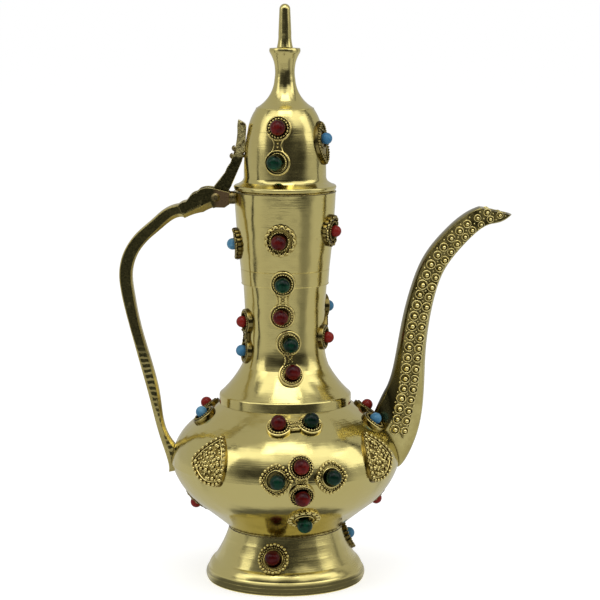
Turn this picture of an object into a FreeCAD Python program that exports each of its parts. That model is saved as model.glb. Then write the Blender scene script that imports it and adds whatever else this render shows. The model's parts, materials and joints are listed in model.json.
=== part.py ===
import FreeCAD, Part
import math
import os
from FreeCAD import Matrix, Placement, Rotation, Vector

# Brass coffee pot with a hinged lid, a swan-neck spout and beads in filigree cups.
# Millimetres, +Z up. The spout points along +X, the handle lies at -X, the shown side faces -Y.

# Joints and walls
solder_gap = 0.08
press_gap = 0.02
running_gap = 0.06
foot_wall = 1.8
bowl_wall = 1.6
neck_wall = 1.6
lid_wall = 1.5

# Foot
foot_radius = 37.9
foot_band_height = 5.8
foot_band_swell = 1.0
foot_crease = 0.6
foot_shoulder_radius = 34.6
foot_shoulder_rise = 4.1
foot_top_radius = 27.1
foot_height = 26.0

# Bowl
under_radius = 42.2
under_rise = 12.4
belly_radius = 55.5
belly_rise = 19.6
shoulder_radius = 46.0
shoulder_rise = 19.0
crown_radius = 28.0
crown_rise = 12.9

# Neck
collar_radius = 32.0
collar_rise = 1.3
collar_round = 1.2
flare_radius = 21.15
flare_rise = 14.3
waist_radius = 19.13
waist_rise = 10.5
neck_top_radius = 20.15
neck_run = 29.4
spigot_step = 0.55
spigot_length = 6.4
band_radius = 20.95
band_rise = 7.4
band_taper = 0.5
band_groove = 0.25
rim_radius = 24.45
rim_rise = 37.6

# Lid
lid_gap = 0.4
lid_lip_clearance = 0.7
lid_lip_depth = 4.6
flange_radius = 24.5
flange_thickness = 2.5
dome_radius = 19.7
dome_rise = 15.2
dome_shoulder_radius = 17.9
dome_shoulder_rise = 13.0
crease_radius = 13.6
crease_rise = 11.0
crease_step = 0.35
stem_radius = 5.0
stem_rise = 13.6
stem_length = 8.0
knob_radius = 7.3
knob_rise = 4.8
knob_thickness = 2.0
knob_dish = 1.0
finial_radius = 3.8
finial_tip_radius = 2.6
finial_length = 21.0
tenon_radius = 2.0
tenon_length = 9.0

# Hinge, strap and lug
hinge_reach = 8.75
hinge_drop = 2.9
pin_radius = 1.2
pin_head_radius = 2.1
pin_head_thickness = 0.8
knuckle_radius = 3.4
slot_clearance = 0.35
strap_width = 6.0
head_width = 11.0
edge_break = 0.14
slope_depth = 3.6
slope_inset = 4.4
cut_pitch = 1.1
cut_depth = 0.4
cut_width = 0.35
cut_length = 2.4
lug_reach = 2.15
lug_radius = 3.15
lug_drop = 3.4
rivet_radius = 0.8
rivet_head_radius = 1.5
rivet_pitch = 3.7
rivet_height = 16.2

# Spout
spout_wall = 1.3
port_radius = 5.5
port_rise = 12.5
band_relief = 0.5
band_half_width = 4.7
band_margin = 0.9
edge_round = 0.3

# Bead cups and plaques
large_bead_radius = 3.7
small_bead_radius = 2.8
bead_seat_radius = 1.8
cup_radius = 6.1
cup_plate = 0.9
cup_floor = 0.45
cup_floor_radius = 3.9
cup_root = 4.0
rim_wire = 1.1
ring_radius = 4.45
ring_wire = 0.8
link_width = 6.0
plate_thickness = 0.9
border_width = 1.3
border_relief = 0.5
neck_rosette_radius = 7.4
foot_rosette_radius = 7.2
under_rosette_radius = 7.4
diamond_half = 8.2
almond_height = 21.0
almond_width = 13.0
almond_drop = 1.8
scallop_count = 14
scallop_rise = 0.6

# Levels of the body
z_under = foot_height + under_rise
z_belly = z_under + belly_rise
z_shoulder = z_belly + shoulder_rise
z_crown = z_shoulder + crown_rise
z_collar = z_crown + collar_rise
z_flare = z_collar + flare_rise
z_waist = z_flare + waist_rise
z_band = z_waist + neck_run
z_band_top = z_band + band_rise
z_rim = z_band_top + rim_rise
z_lid = z_rim + lid_gap
z_flange = z_lid + flange_thickness
z_dome = z_lid + dome_rise
z_dome_shoulder = z_dome + dome_shoulder_rise
z_crease = z_dome_shoulder + crease_rise
z_stem = z_crease + stem_rise
z_stem_top = z_stem + stem_length
z_knob = z_stem_top + knob_rise
z_knob_top = z_knob + knob_thickness
hinge_x = -(rim_radius + hinge_reach)
hinge_z = z_rim - hinge_drop
nose_x = -(rim_radius + lug_reach)


def in_profile(a, b):
    return Vector(a, 0, b)


def in_plan(a, b):
    return Vector(a, b, 0)


def path(points, plane):
    """Edges through (a, b, bulge) points; a bulge is the arc's rise to the right of travel."""
    edges = []
    for start, stop in zip(points, points[1:]):
        bulge = stop[2] if len(stop) > 2 else 0
        da = stop[0] - start[0]
        db = stop[1] - start[1]
        length = math.hypot(da, db)
        if bulge == 0:
            edges.append(Part.makeLine(plane(*start[:2]), plane(*stop[:2])))
            continue
        middle = plane(
            (start[0] + stop[0]) / 2 + bulge * db / length,
            (start[1] + stop[1]) / 2 - bulge * da / length,
        )
        arc = Part.Arc(plane(*start[:2]), middle, plane(*stop[:2]))
        edges.append(arc.toShape())
    return edges


def closed_face(edges):
    return Part.Face(Part.Wire(Part.__sortEdges__(edges)))


def turned(points):
    """Solid turned about Z from a closed half profile."""
    edges = path(points + [points[0][:2]], in_profile)
    return closed_face(edges).revolve(Vector(0, 0, 0), Vector(0, 0, 1), 360)


def shell(outer, inner):
    """Wall turned about Z between two upward outlines."""
    edges = path(outer, in_profile) + path(inner, in_profile)
    edges += path([outer[0][:2], inner[0][:2]], in_profile)
    edges += path([outer[-1][:2], inner[-1][:2]], in_profile)
    return closed_face(edges).revolve(Vector(0, 0, 0), Vector(0, 0, 1), 360)


def core(outline, bottom):
    """Filled form inside an outline, closed down to a level."""
    points = [(0, bottom), (outline[0][0], bottom)] + outline + [(0, outline[-1][1])]
    if bottom == outline[0][1]:
        points.pop(1)
    return turned(points)


# Outlines of the walls, grown or shrunk by a radial amount
def foot_outline(grow):
    shoulder = foot_band_height + foot_crease + foot_shoulder_rise
    return [
        (foot_radius + grow, 0),
        (foot_radius + grow, foot_band_height, foot_band_swell),
        (foot_radius - 0.4 + grow, foot_band_height + foot_crease),
        (foot_shoulder_radius + grow, shoulder, 0.45),
        (foot_top_radius + grow, foot_height + 1.2, -0.8),
    ]


def lower_outline(grow):
    return [
        (foot_top_radius - 0.5 + grow, foot_height - 0.2),
        (under_radius + grow, z_under, -0.2),
        (belly_radius + grow, z_belly, 1.9),
    ]


def upper_outline(grow):
    return [
        (belly_radius + grow, z_belly),
        (shoulder_radius + grow, z_shoulder, 2.25),
        (crown_radius + grow, z_crown, 0.35),
    ]


def flare_outline(grow):
    return [
        (collar_radius - 0.8 + grow, z_collar + collar_round),
        (flare_radius + grow, z_flare, -0.68),
        (waist_radius + grow, z_waist, -0.5),
        (neck_top_radius + grow, z_band, -0.24),
    ]


def mouth_outline(grow):
    return [
        (band_radius + grow, z_band),
        (band_radius + band_taper + grow, z_band_top - band_groove),
        (band_radius + band_taper - band_groove + grow, z_band_top),
        (band_radius + band_taper + grow, z_band_top + band_groove),
        (rim_radius + grow, z_rim, 0.35),
    ]


def collar_outline(grow, bottom):
    return [
        (collar_radius + grow, bottom),
        (collar_radius + grow, z_collar),
        (collar_radius - 0.8 + grow, z_collar + collar_round, 0.2),
    ]


def dome_outline(grow):
    return [
        (flange_radius - 1.0 + grow, z_lid),
        (flange_radius + grow, z_lid + 0.9, 0.3),
        (flange_radius - 0.9 + grow, z_flange, 0.6),
        (dome_radius + 1.1 + grow, z_flange + 1.6, -0.1),
        (dome_radius + 0.1 + grow, z_flange + 4.2, -0.3),
        (dome_radius - 0.1 + grow, z_dome, 0.05),
        (dome_shoulder_radius + grow, z_dome_shoulder, 0.25),
        (crease_radius + grow, z_crease, 0.75),
        (crease_radius - crease_step + grow, z_crease + crease_step),
        (stem_radius + grow, z_stem, -1.95),
    ]


knob_outline = [
    (stem_radius + 0.2, z_stem_top, -0.4),
    (knob_radius, z_knob, -0.2),
    (knob_radius - 0.1, z_knob_top, 0.2),
]

# Filled forms that the applied pieces are fitted against
bowl_form = lower_outline(solder_gap) + upper_outline(solder_gap)[1:]
bowl_core = core(bowl_form, foot_height - 0.2)
foot_core = core(foot_outline(solder_gap), 0)
neck_form = collar_outline(solder_gap, z_shoulder) + flare_outline(solder_gap)[1:]
neck_core = core(neck_form + mouth_outline(solder_gap), z_shoulder)
lid_core = core(dome_outline(solder_gap), z_lid)
zone_core = {"foot": foot_core, "bowl": bowl_core, "neck": neck_core, "lid": lid_core}
zone = {
    "foot": path(foot_outline(0), in_profile),
    "bowl": path(lower_outline(0) + upper_outline(0)[1:], in_profile),
    "neck": path(flare_outline(0), in_profile) + path(mouth_outline(0), in_profile),
    "lid": path(dome_outline(0), in_profile),
}
plate_form = {
    "foot": core(foot_outline(solder_gap + plate_thickness), 0),
    "bowl": core(
        lower_outline(solder_gap + plate_thickness) + upper_outline(solder_gap + plate_thickness)[1:],
        foot_height - 0.2,
    ),
    "neck": core(mouth_outline(solder_gap + plate_thickness), z_band),
    "lid": core(dome_outline(solder_gap + plate_thickness), z_lid),
}
border_growth = solder_gap + plate_thickness + border_relief
border_form = {
    "foot": core(foot_outline(border_growth), 0),
    "bowl": core(lower_outline(border_growth) + upper_outline(border_growth)[1:], foot_height - 0.2),
    "neck": core(mouth_outline(border_growth), z_band),
    "lid": core(dome_outline(border_growth), z_lid),
}


def fitted(shape, forms):
    """Piece trimmed to sit on the given forms."""
    for form in forms:
        shape = shape.cut(form)
    return shape


def gathered(shapes):
    return Part.makeCompound([solid for shape in shapes for solid in shape.Solids])


def about_axis(shape, angle):
    copy = shape.copy()
    copy.rotate(Vector(0, 0, 0), Vector(0, 0, 1), angle)
    return copy


# Seats on the walls: a height and an azimuth give a point, a normal and a placement
def seat(edges, height, azimuth):
    for edge in edges:
        low, high = edge.FirstParameter, edge.LastParameter
        z_low, z_high = edge.valueAt(low).z, edge.valueAt(high).z
        if not min(z_low, z_high) <= height <= max(z_low, z_high) or z_low == z_high:
            continue
        for _ in range(50):
            middle = (low + high) / 2
            if (edge.valueAt(middle).z < height) == (z_low < z_high):
                low = middle
            else:
                high = middle
        point = edge.valueAt(low)
        along = edge.tangentAt(low)
        if along.z < 0:
            along = along.negative()
        break
    normal = Vector(along.z, 0, -along.x)
    side = Vector(0, 1, 0)
    frame = Matrix(
        side.x, along.x, normal.x, point.x,
        side.y, along.y, normal.y, point.y,
        side.z, along.z, normal.z, point.z,
        0, 0, 0, 1,
    )
    turn = Placement(Vector(0, 0, 0), Rotation(Vector(0, 0, 1), azimuth))
    return turn.multiply(Placement(frame))


def placed(shape, placement):
    copy = shape.copy()
    copy.Placement = placement.multiply(copy.Placement)
    return copy


def cup(radius):
    """Round cup: flat floor for the bead, milled inner ring and a half-round rim wire."""
    return turned([
        (0, -cup_root),
        (radius, -cup_root),
        (radius, cup_plate),
        (radius - rim_wire, cup_plate, rim_wire / 2),
        (ring_radius + ring_wire / 2, cup_plate),
        (ring_radius - ring_wire / 2, cup_plate, ring_wire / 2),
        (cup_floor_radius, cup_plate),
        (cup_floor_radius, cup_floor),
        (0, cup_floor),
    ])


def socket():
    """Bead seat of a plaque: flat floor with a ring round it."""
    return turned([
        (0, -cup_root),
        (ring_radius + ring_wire / 2, -cup_root),
        (ring_radius + ring_wire / 2, cup_plate),
        (ring_radius - ring_wire / 2, cup_plate, ring_wire / 2),
        (cup_floor_radius, cup_plate),
        (cup_floor_radius, cup_floor),
        (0, cup_floor),
    ])


def bead(azimuth, shift=(0, 0)):
    """Round bead with a small flat that stands on the cup floor, large on the front and the back."""
    front = abs(math.sin(math.radians(azimuth))) > 0.8
    radius = large_bead_radius if front else small_bead_radius
    rise = math.sqrt(radius ** 2 - bead_seat_radius ** 2)
    ball = Part.makeSphere(radius, Vector(0, 0, cup_floor + rise))
    below = Part.makeBox(20, 20, 20, Vector(-10, -10, cup_floor - 20))
    ball = ball.cut(below)
    ball.translate(Vector(*shift, 0))
    return ball


def prism(outline, low, high):
    face = closed_face(path(outline, in_plan))
    face.translate(Vector(0, 0, low))
    return face.extrude(Vector(0, 0, high - low))


def scalloped(radius):
    step = 2 * math.pi / scallop_count
    points = [(radius * math.cos(i * step), radius * math.sin(i * step)) for i in range(scallop_count + 1)]
    return [points[0]] + [(a, b, scallop_rise) for a, b in points[1:]]


def lozenge(half):
    bulge = 1.6
    return [(half, 0), (0, half, bulge), (-half, 0, bulge), (0, -half, bulge), (half, 0, bulge)]


def almond(height, width, drop):
    """Pointed oval with its middle a little below the bead."""
    tip = height / 2 - drop
    return [(0, tip - height), (0, tip, width / 2), (0, tip - height, width / 2)]


def leaf(mirror):
    """Leaf with its tip on top, a full side towards the middle of the pot and a straight outer side."""
    points = [
        (3.3, 13.4),
        (-8.4, 0.8, 0.6),
        (-7.4, -4.4, 0.9),
        (0.5, -10.9, 0.8),
        (8.5, -10.9, 0.5),
        (12.4, -6.0, 1.1),
        (3.3, 13.4, 3.2),
    ]
    if mirror:
        points = [(-p[0], p[1], *[-bulge for bulge in p[2:]]) for p in points]
    return points


def narrowed(outline, amount):
    """Prism outline face shrunk by the border width."""
    return closed_face(path(outline, in_plan)).makeOffset2D(-amount)


def plaque(outline, where, placement, with_cup):
    """Thin plate bent to a wall, with a raised border and, if wanted, a bead cup."""
    tall = placed(prism(outline, -6, 8), placement)
    inside = narrowed(outline, border_width)
    inside.translate(Vector(0, 0, -7))
    inside = placed(inside.extrude(Vector(0, 0, 16)), placement)
    plate = tall.common(plate_form[where])
    border = tall.cut(inside).common(border_form[where])
    piece = plate.fuse(border)
    if with_cup:
        well = placed(Part.makeCylinder(ring_radius, 8, Vector(0, 0, cup_floor)), placement)
        piece = piece.cut(well).fuse(placed(socket(), placement))
    return fitted(piece, [zone_core[where]])


def double(edges, first, second, forms):
    """Two round cups joined by a waist."""
    one = seat(edges, *first)
    two = seat(edges, *second)
    middle = seat(edges, *[(a + b) / 2 for a, b in zip(first, second)])
    run = two.Base - one.Base
    outward = one.Rotation.multVec(Vector(0, 0, 1)) + two.Rotation.multVec(Vector(0, 0, 1))
    between = Placement(middle.Base, Rotation(run, Vector(0, 0, 0), outward, "XZY"))
    length = run.Length - 2 * (cup_radius - rim_wire)
    corner = Vector(-length / 2, -link_width / 2, -cup_root)
    waist = Part.makeBox(length, link_width, cup_root + cup_plate, corner)
    cups = placed(cup(cup_radius), one).fuse(placed(cup(cup_radius), two))
    return fitted(cups.fuse(placed(waist, between)), forms)


# Turned walls of the pot
foot = shell(foot_outline(0), foot_outline(-foot_wall)).cut(bowl_core)
lower_inner = [
    (0, foot_height - 0.2 + bowl_wall),
    (foot_top_radius - 0.5, foot_height - 0.2 + bowl_wall),
    (under_radius - bowl_wall * 1.3, z_under + bowl_wall * 0.5, -0.2),
    (belly_radius - bowl_wall, z_belly, 1.9),
]
lower_bowl = shell([(0, foot_height - 0.2)] + lower_outline(0), lower_inner)
upper_inner = [
    (belly_radius - bowl_wall, z_belly),
    (shoulder_radius - bowl_wall, z_shoulder - bowl_wall * 0.6, 2.25),
    (crown_radius, z_crown - bowl_wall * 1.2, 0.35),
]
z_port = z_belly + port_rise
port = Part.makeCylinder(port_radius, belly_radius, Vector(belly_radius / 2, 0, z_port), Vector(1, 0, 0))
upper_bowl = shell(upper_outline(0), upper_inner).cut(port)

spigot_radius = neck_top_radius - spigot_step
neck_outer = collar_outline(0, z_shoulder + crown_rise / 2) + flare_outline(0)[1:]
neck_outer += [(spigot_radius, z_band), (spigot_radius, z_band + spigot_length)]
neck_inner = [
    (crown_radius + 0.2, z_shoulder + crown_rise / 2),
    (crown_radius + 0.2, z_collar),
    (flare_radius - neck_wall, z_flare, -0.68),
    (waist_radius - neck_wall, z_waist, -0.5),
    (spigot_radius - neck_wall, z_band + spigot_length, -0.24),
]
neck_lower = shell(neck_outer, neck_inner).cut(bowl_core)
socket_radius = spigot_radius + solder_gap
mouth_radius = rim_radius - neck_wall - 0.2
neck_upper = shell(mouth_outline(0), [
    (socket_radius, z_band),
    (socket_radius, z_band + spigot_length + solder_gap),
    (mouth_radius, z_rim),
])

# Lid
lip_radius = mouth_radius - lid_lip_clearance
lid_outer = [(lip_radius, z_lid - lid_lip_depth), (lip_radius, z_lid)] + dome_outline(0) + knob_outline
lid_outer += [
    (finial_radius + 2.4, z_knob_top),
    (finial_radius + 0.4, z_knob_top - knob_dish),
    (tenon_radius + press_gap, z_knob_top - knob_dish),
    (tenon_radius + press_gap, z_knob_top - knob_dish - tenon_length),
    (0, z_knob_top - knob_dish - tenon_length),
]
lid_inner = [
    (lip_radius - lid_wall, z_lid - lid_lip_depth),
    (lip_radius - lid_wall, z_lid),
    (dome_radius - lid_wall, z_flange + 3.0, -0.3),
    (dome_radius - lid_wall - 0.1, z_dome, 0.05),
    (dome_shoulder_radius - lid_wall, z_dome_shoulder - 0.4, 0.25),
    (crease_radius - lid_wall - 0.4, z_crease - lid_wall * 0.7, 0.6),
    (stem_radius, z_crease + 4.0, -0.8),
    (0, z_crease + 5.5),
]
lid_dome = shell(lid_outer, lid_inner)
z_dish = z_knob_top - knob_dish
z_tip = z_knob_top + finial_length
lid_finial = turned([
    (0, z_dish - tenon_length + 0.3),
    (tenon_radius, z_dish - tenon_length + 0.3),
    (tenon_radius, z_dish),
    (finial_radius, z_dish),
    (finial_radius, z_dish + 1.6),
    (finial_tip_radius + 0.5, z_dish + 8.0, -0.25),
    (finial_tip_radius, z_tip - finial_tip_radius),
    (0, z_tip, finial_tip_radius * (1 - math.sqrt(0.5))),
])


# Hinge: fork of the handle, pin, strap of the lid and the lug on the neck
def side_plate(points, width):
    """Flat piece cut to a side outline and centred on the pot's middle plane."""
    face = closed_face(path(points + [points[0]], in_profile))
    face.translate(Vector(0, -width / 2, 0))
    return face.extrude(Vector(0, width, 0))


def cross_pin(radius, length):
    return Part.makeCylinder(radius, length, Vector(hinge_x, -length / 2, hinge_z), Vector(0, 1, 0))


def from_hinge(points):
    return [(hinge_x + p[0], hinge_z + p[1], *p[2:]) for p in points]


wall_x = -(dome_radius - 0.6)
strap_points = from_hinge([(2.4, -1.6), (6.1, 2.8), (7.4, 5.0)]) + [
    (wall_x - 1.5, z_dome - 1.4),
    (wall_x, z_dome + 4.0),
    (wall_x + 0.6, z_dome + 15.2),
    (wall_x + 0.2, z_dome + 16.4),
    (wall_x - 3.2, z_dome + 18.4, 0.2),
    (wall_x - 3.6, z_dome + 13.8, 0.2),
    (wall_x - 4.4, z_dome + 6.6, -0.2),
    (wall_x - 5.4, z_dome + 2.8, -0.1),
    (wall_x - 7.2, z_dome - 2.5),
] + from_hinge([(4.4, 11.6, 0.3), (-1.2, 4.6), (-2.6, 0.4)])
knuckle = cross_pin(knuckle_radius, strap_width)
strap = side_plate(strap_points, strap_width).fuse(knuckle)


def rivet(height, grow):
    """Shank through strap and lid wall with a domed head outside."""
    head_x = wall_x - 4.9 - (z_dome + 5.0 - height) * 0.28
    shank = Part.makeCylinder(
        rivet_radius + grow, lid_wall - head_x - dome_radius + 2.0, Vector(head_x, 0, height), Vector(1, 0, 0)
    )
    ball = Part.makeSphere(rivet_head_radius + grow, Vector(head_x, 0, height))
    behind = Part.makeBox(10, 10, 10, Vector(head_x, -5, height - 5))
    return ball.cut(behind).fuse(shank)


rivet_heights = [z_lid + rivet_height, z_lid + rivet_height + rivet_pitch]
strap_rivets = gathered([rivet(height, 0) for height in rivet_heights])
rivet_holes = [rivet(height, press_gap) for height in rivet_heights]
strap = strap.cut(cross_pin(pin_radius + running_gap, head_width))
lid_strap = fitted(strap, [lid_core] + rivet_holes)
lid_dome = fitted(lid_dome, rivet_holes)

head_points = from_hinge([
    (nose_x - hinge_x, 2.4),
    (-1.4, 4.4),
    (-7.4, 3.9, 0.5),
    (-9.0, 2.4),
    (-13.0, -0.5, 0.6),
    (-14.2, -2.0),
    (-18.0, -3.8, 0.4),
    (-15.0, -10.2),
    (-6.0, -7.4, -0.5),
    (0.2, -4.8, -0.3),
    (4.3, -4.9),
    (nose_x - hinge_x, -3.3),
])
slot_points = from_hinge([
    (9.0, 3.2),
    (3.6, -0.9),
    (-4.2, -2.9),
    (-14.5, 2.6),
    (-14.5, 14.0),
    (9.0, 14.0),
])
slot = side_plate(slot_points, strap_width + 2 * slot_clearance)
slot = slot.fuse(cross_pin(knuckle_radius + slot_clearance, strap_width + 2 * slot_clearance))


# Sloped lower part of the head
slope_start = Vector(hinge_x - 2.6, 0, hinge_z - 2.1)
slope_stop = Vector(hinge_x - 21.0, 0, hinge_z - 10.8)
sides = (-1, 1)


def square_to(run):
    """Direction in the middle plane square to a run, downwards or inwards."""
    along = Vector(run).normalize()
    return Vector(-along.z, 0, along.x)


def wedge(side):
    """Prism that slopes one side of the head inwards below the slope's line."""
    run = slope_stop - slope_start
    down = square_to(run)
    reach = head_width
    top = slope_start + Vector(0, side * head_width / 2, 0)
    lean = Vector(0, -side * slope_inset / slope_depth, 0)
    points = [top - down - lean, top + down * reach - lean, top + (down + lean) * reach]
    return Part.Face(Part.makePolygon(points + points[:1])).extrude(run)


# Grip stations from the head down to the belly: outer point, inner point, width and sloped share
grip_stations = [
    (hinge_x - 17.5, hinge_z - 3.6, hinge_x - 14.5, hinge_z - 10.0, head_width, 0.29),
    (hinge_x - 31.1, hinge_z - 11.4, hinge_x - 26.4, hinge_z - 15.4, 8.6, 0.2),
    (hinge_x - 37.9, hinge_z - 17.3, hinge_x - 32.4, hinge_z - 20.6, 8.0, 0.13),
    (hinge_x - 43.7, hinge_z - 25.0, hinge_x - 37.5, hinge_z - 27.2, 7.6, 0.1),
    (hinge_x - 46.7, hinge_z - 36.7, hinge_x - 40.5, hinge_z - 37.3, 7.4, 0.1),
    (hinge_x - 45.8, hinge_z - 46.5, hinge_x - 39.8, hinge_z - 45.9, 7.2, 0.1),
    (-(belly_radius + 20.3), z_belly + 69.0, -(belly_radius + 15.1), z_belly + 70.0, 7.0, 0.12),
    (-(belly_radius + 15.2), z_belly + 49.7, -(belly_radius + 9.9), z_belly + 50.9, 6.8, 0.16),
    (-(belly_radius + 10.0), z_belly + 29.9, -(belly_radius + 5.2), z_belly + 31.0, 6.6, 0.22),
    (-(belly_radius + 4.8), z_belly + 10.0, -(belly_radius + 0.3), z_belly + 11.0, 6.6, 0.28),
    (-(belly_radius + 1.3), z_belly - 5.0, -(belly_radius - 2.2), z_belly - 4.4, 7.4, 0.3),
]


def grip_point(station, depth, across):
    """Point of a grip section; depth runs from -1 inside to 1 outside and across from -1 to 1."""
    outer = Vector(station[0], 0, station[1])
    inner = Vector(station[2], 0, station[3])
    return (outer + inner) * 0.5 + (outer - inner) * 0.5 * depth + Vector(0, across * station[4] / 2, 0)


def grip_section(station):
    """Bar section with upright sides, thin outer edges and a sloped inner part."""
    start = 2 * station[5] - 1
    inner = 1 - 1.4 * station[5]
    right = [(-1, inner), (start, 1), (1 - edge_break, 1), (1, 1 - edge_break)]
    left = [(depth, -across) for depth, across in reversed(right)]
    points = [grip_point(station, depth, across) for depth, across in right + left]
    return Part.makePolygon(points + [points[0]])


def file_cuts(start, stop):
    """V grooves on both sides across the line where the slope begins, between two points of one side."""
    run = stop - start
    along = Vector(run).normalize()
    down = square_to(run)
    cuts = []
    for i in range(int(run.Length / cut_pitch)):
        middle = start + along * (i * cut_pitch) - down * cut_length / 3
        for side in sides:
            face = Vector(middle.x, side * middle.y, middle.z)
            out = Vector(0, side * cut_depth, 0)
            points = [face - out, face + out + along * cut_width, face + out - along * cut_width]
            cuts.append(Part.Face(Part.makePolygon(points + points[:1])).extrude(down * cut_length))
    return cuts


def slope_edge(index):
    station = grip_stations[index]
    return grip_point(station, 2 * station[5] - 1, 1)


def head_edge(share):
    return slope_start + (slope_stop - slope_start) * share + Vector(0, head_width / 2, 0)


cuts = file_cuts(head_edge(0.25), head_edge(0.68))
cuts += file_cuts(slope_edge(0), slope_edge(1))
cuts += file_cuts(slope_edge(8), slope_edge(9))
grip = Part.makeLoft([grip_section(station) for station in grip_stations], True)
handle = side_plate(head_points, head_width).fuse(grip)
pin_hole = cross_pin(pin_radius + press_gap, 2 * head_width)
handle = fitted(handle, [slot, pin_hole, bowl_core] + [wedge(side) for side in sides])
handle = handle.cut(Part.makeCompound(cuts))
pin_length = head_width + 2 * pin_head_thickness
hinge_pin = cross_pin(pin_radius, pin_length)
for side in sides:
    start = Vector(hinge_x, side * head_width / 2, hinge_z)
    head = Part.makeCone(pin_head_radius, pin_radius, pin_head_thickness, start, Vector(0, side, 0))
    hinge_pin = hinge_pin.fuse(head)
lug = Part.makeCylinder(lug_radius, rim_radius, Vector(nose_x, 0, z_rim - lug_drop), Vector(1, 0, 0))
near = Part.makeBox(rim_radius / 2, 20, 20, Vector(nose_x, -10, z_rim - lug_drop - 10))
neck_lug = lug.common(near).cut(neck_core)

# Spout stations: centre beyond the belly's side, height above the belly, lean, depth and width
spout_stations = [
    (-7.25, 9.0, 27.5, 27.0, 13.0),
    (1.0, 24.4, 34.0, 27.4, 12.6),
    (4.0, 38.5, 60.5, 18.3, 12.0),
    (5.6, 53.8, 75.6, 14.5, 11.4),
    (7.9, 69.9, 77.8, 13.2, 11.0),
    (11.5, 85.0, 71.1, 12.4, 10.6),
    (16.4, 97.3, 57.0, 12.1, 10.2),
    (24.4, 108.0, 44.0, 11.7, 10.0),
    (32.5, 115.9, 40.8, 10.9, 9.8),
    (40.0, 120.3, 28.9, 9.9, 9.4),
    (52.3, 125.5, 20.0, 9.0, 8.8),
]
mouth_top = (37.6, 124.6)
mouth_tip = (53.0, 121.0)
band_root = (-0.6, 16.0, 32.0, 27.0, 12.9)


def band_half(half):
    """Half width of the flat that carries the band on a spout of the given half depth."""
    return min(band_half_width, half - band_margin)


def across_spout(station, outline):
    """Closed wire square to the spout's run; the outline's first value is depth and its second is width."""
    x, z, lean = station[:3]
    middle = Vector(belly_radius + x, 0, z_belly + z)
    turn = Rotation(Vector(0, 1, 0), -lean)
    return Part.Wire(path(outline, lambda a, b: middle + turn.multVec(Vector(0, b, a))))


def horn_section(station, grow):
    """Flat sides, a sloped face towards each edge and rounded edges."""
    half = station[3] / 2 + grow
    side = station[4] / 2 + grow
    flat = band_half(half)
    slope = half - flat
    edge = side - min(side, slope) / 2
    rise = min(edge_round * edge, slope / 2)
    brink = half - rise
    return across_spout(station, [
        (brink, -edge),
        (brink, edge, rise),
        (flat, side),
        (-flat, side),
        (-brink, edge),
        (-brink, -edge, rise),
        (-flat, -side),
        (flat, -side),
        (brink, -edge),
    ])


def band_section(station):
    """Plate through the spout that stands proud of its flat sides."""
    half = band_half(station[3] / 2)
    side = station[4] / 2 + band_relief
    return across_spout(station, [(half, -side), (half, side), (-half, side), (-half, -side), (half, -side)])


def horn(grow):
    return Part.makeLoft([horn_section(station, grow) for station in spout_stations], True)


fall = math.degrees(math.atan2(mouth_top[1] - mouth_tip[1], mouth_tip[0] - mouth_top[0]))
beyond = Part.makeBox(60, 60, 40, Vector(-20, -30, 0))
beyond.rotate(Vector(0, 0, 0), Vector(0, 1, 0), fall)
beyond.translate(Vector(belly_radius + mouth_top[0], 0, z_belly + mouth_top[1]))
spout_form = horn(solder_gap)
spout = fitted(horn(0), [bowl_core, horn(-spout_wall), beyond])
band_form = Part.makeLoft([band_section(station) for station in [band_root] + spout_stations[1:]], True)
spout_bands = fitted(band_form, [spout_form, beyond])

# Cups in pairs: height, azimuth and bead colour of each of the two, and how far a bead sits off centre
lid_pairs = [
    ((z_dome + 15.2, 261, "red"), (z_dome - 0.8, 260.5, "green", (-1.1, 0.2))),
    ((z_dome + 15.2, 104, "green"), (z_dome - 0.8, 103, "red")),
]
neck_front_pairs = [
    ((z_band + 2.6, 267.5, "green"), (z_waist + 16.2, 266.5, "red", (-0.6, 0))),
    ((z_waist + 3.2, 275, "green", (0.9, -0.5)), (z_flare - 1.5, 277.5, "red", (0.7, 0.4))),
]
neck_side_pairs = [
    ((z_waist + 11.8, 199, "red"), (z_waist - 2.8, 196.5, "turquoise")),
    ((z_waist + 17.5, 19, "turquoise"), (z_waist + 4.0, -17, "red")),
    ((z_waist + 21.0, 122, "green"), (z_waist + 6.0, 122, "red")),
    ((z_waist + 8.0, 68, "red"), (z_waist - 6.5, 68, "green")),
]
shoulder_pairs = [
    ((z_shoulder + 5.2, 266, "red"), (z_shoulder + 5.8, 288, "green")),
    ((z_shoulder + 5.5, 8, "red"), (z_shoulder + 2.0, -14, "turquoise")),
    ((z_shoulder + 5.6, 85.5, "red"), (z_shoulder + 5.6, 108.5, "green")),
    ((z_shoulder + 6.0, 167, "red"), (z_shoulder + 4.8, 192.5, "turquoise")),
]
belly_pairs = [
    ((z_belly + 8.0, 278, "red"), (z_belly - 4.5, 278.5, "red")),
    ((z_belly + 8.0, 98, "red"), (z_belly - 4.5, 98.5, "red")),
]

# Single cups on plaques
lid_singles = [(z_dome + 9.5, 339.5, "turquoise")]
neck_singles = [
    (z_band_top + 16.0, 265, "red", (-0.6, -0.4)),
    (z_band_top + 19.2, 339, "red"),
    (z_band_top + 16.2, 46, "turquoise"),
    (z_band_top + 14.7, 118, "red"),
    (z_band_top + 12.2, 184, "turquoise"),
]
belly_singles = [
    (z_belly + 2.5, 266, "green", (0.9, -0.6)),
    (z_belly + 3.0, 293, "green"),
    (z_belly + 2.5, 86, "green"),
    (z_belly + 3.0, 113, "green", (0.5, -0.6)),
]
under_singles = [
    (z_under + 0.8, 282, "green"),
    (z_under + 1.1, 8.5, "red"),
    (z_under + 0.8, 102, "green"),
    (z_under + 0.1, 176, "red"),
]
foot_singles = [
    (foot_height - 9.8, 260, "red"),
    (foot_height - 7.5, 15, "turquoise"),
    (foot_height - 9.8, 138, "turquoise"),
]
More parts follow.
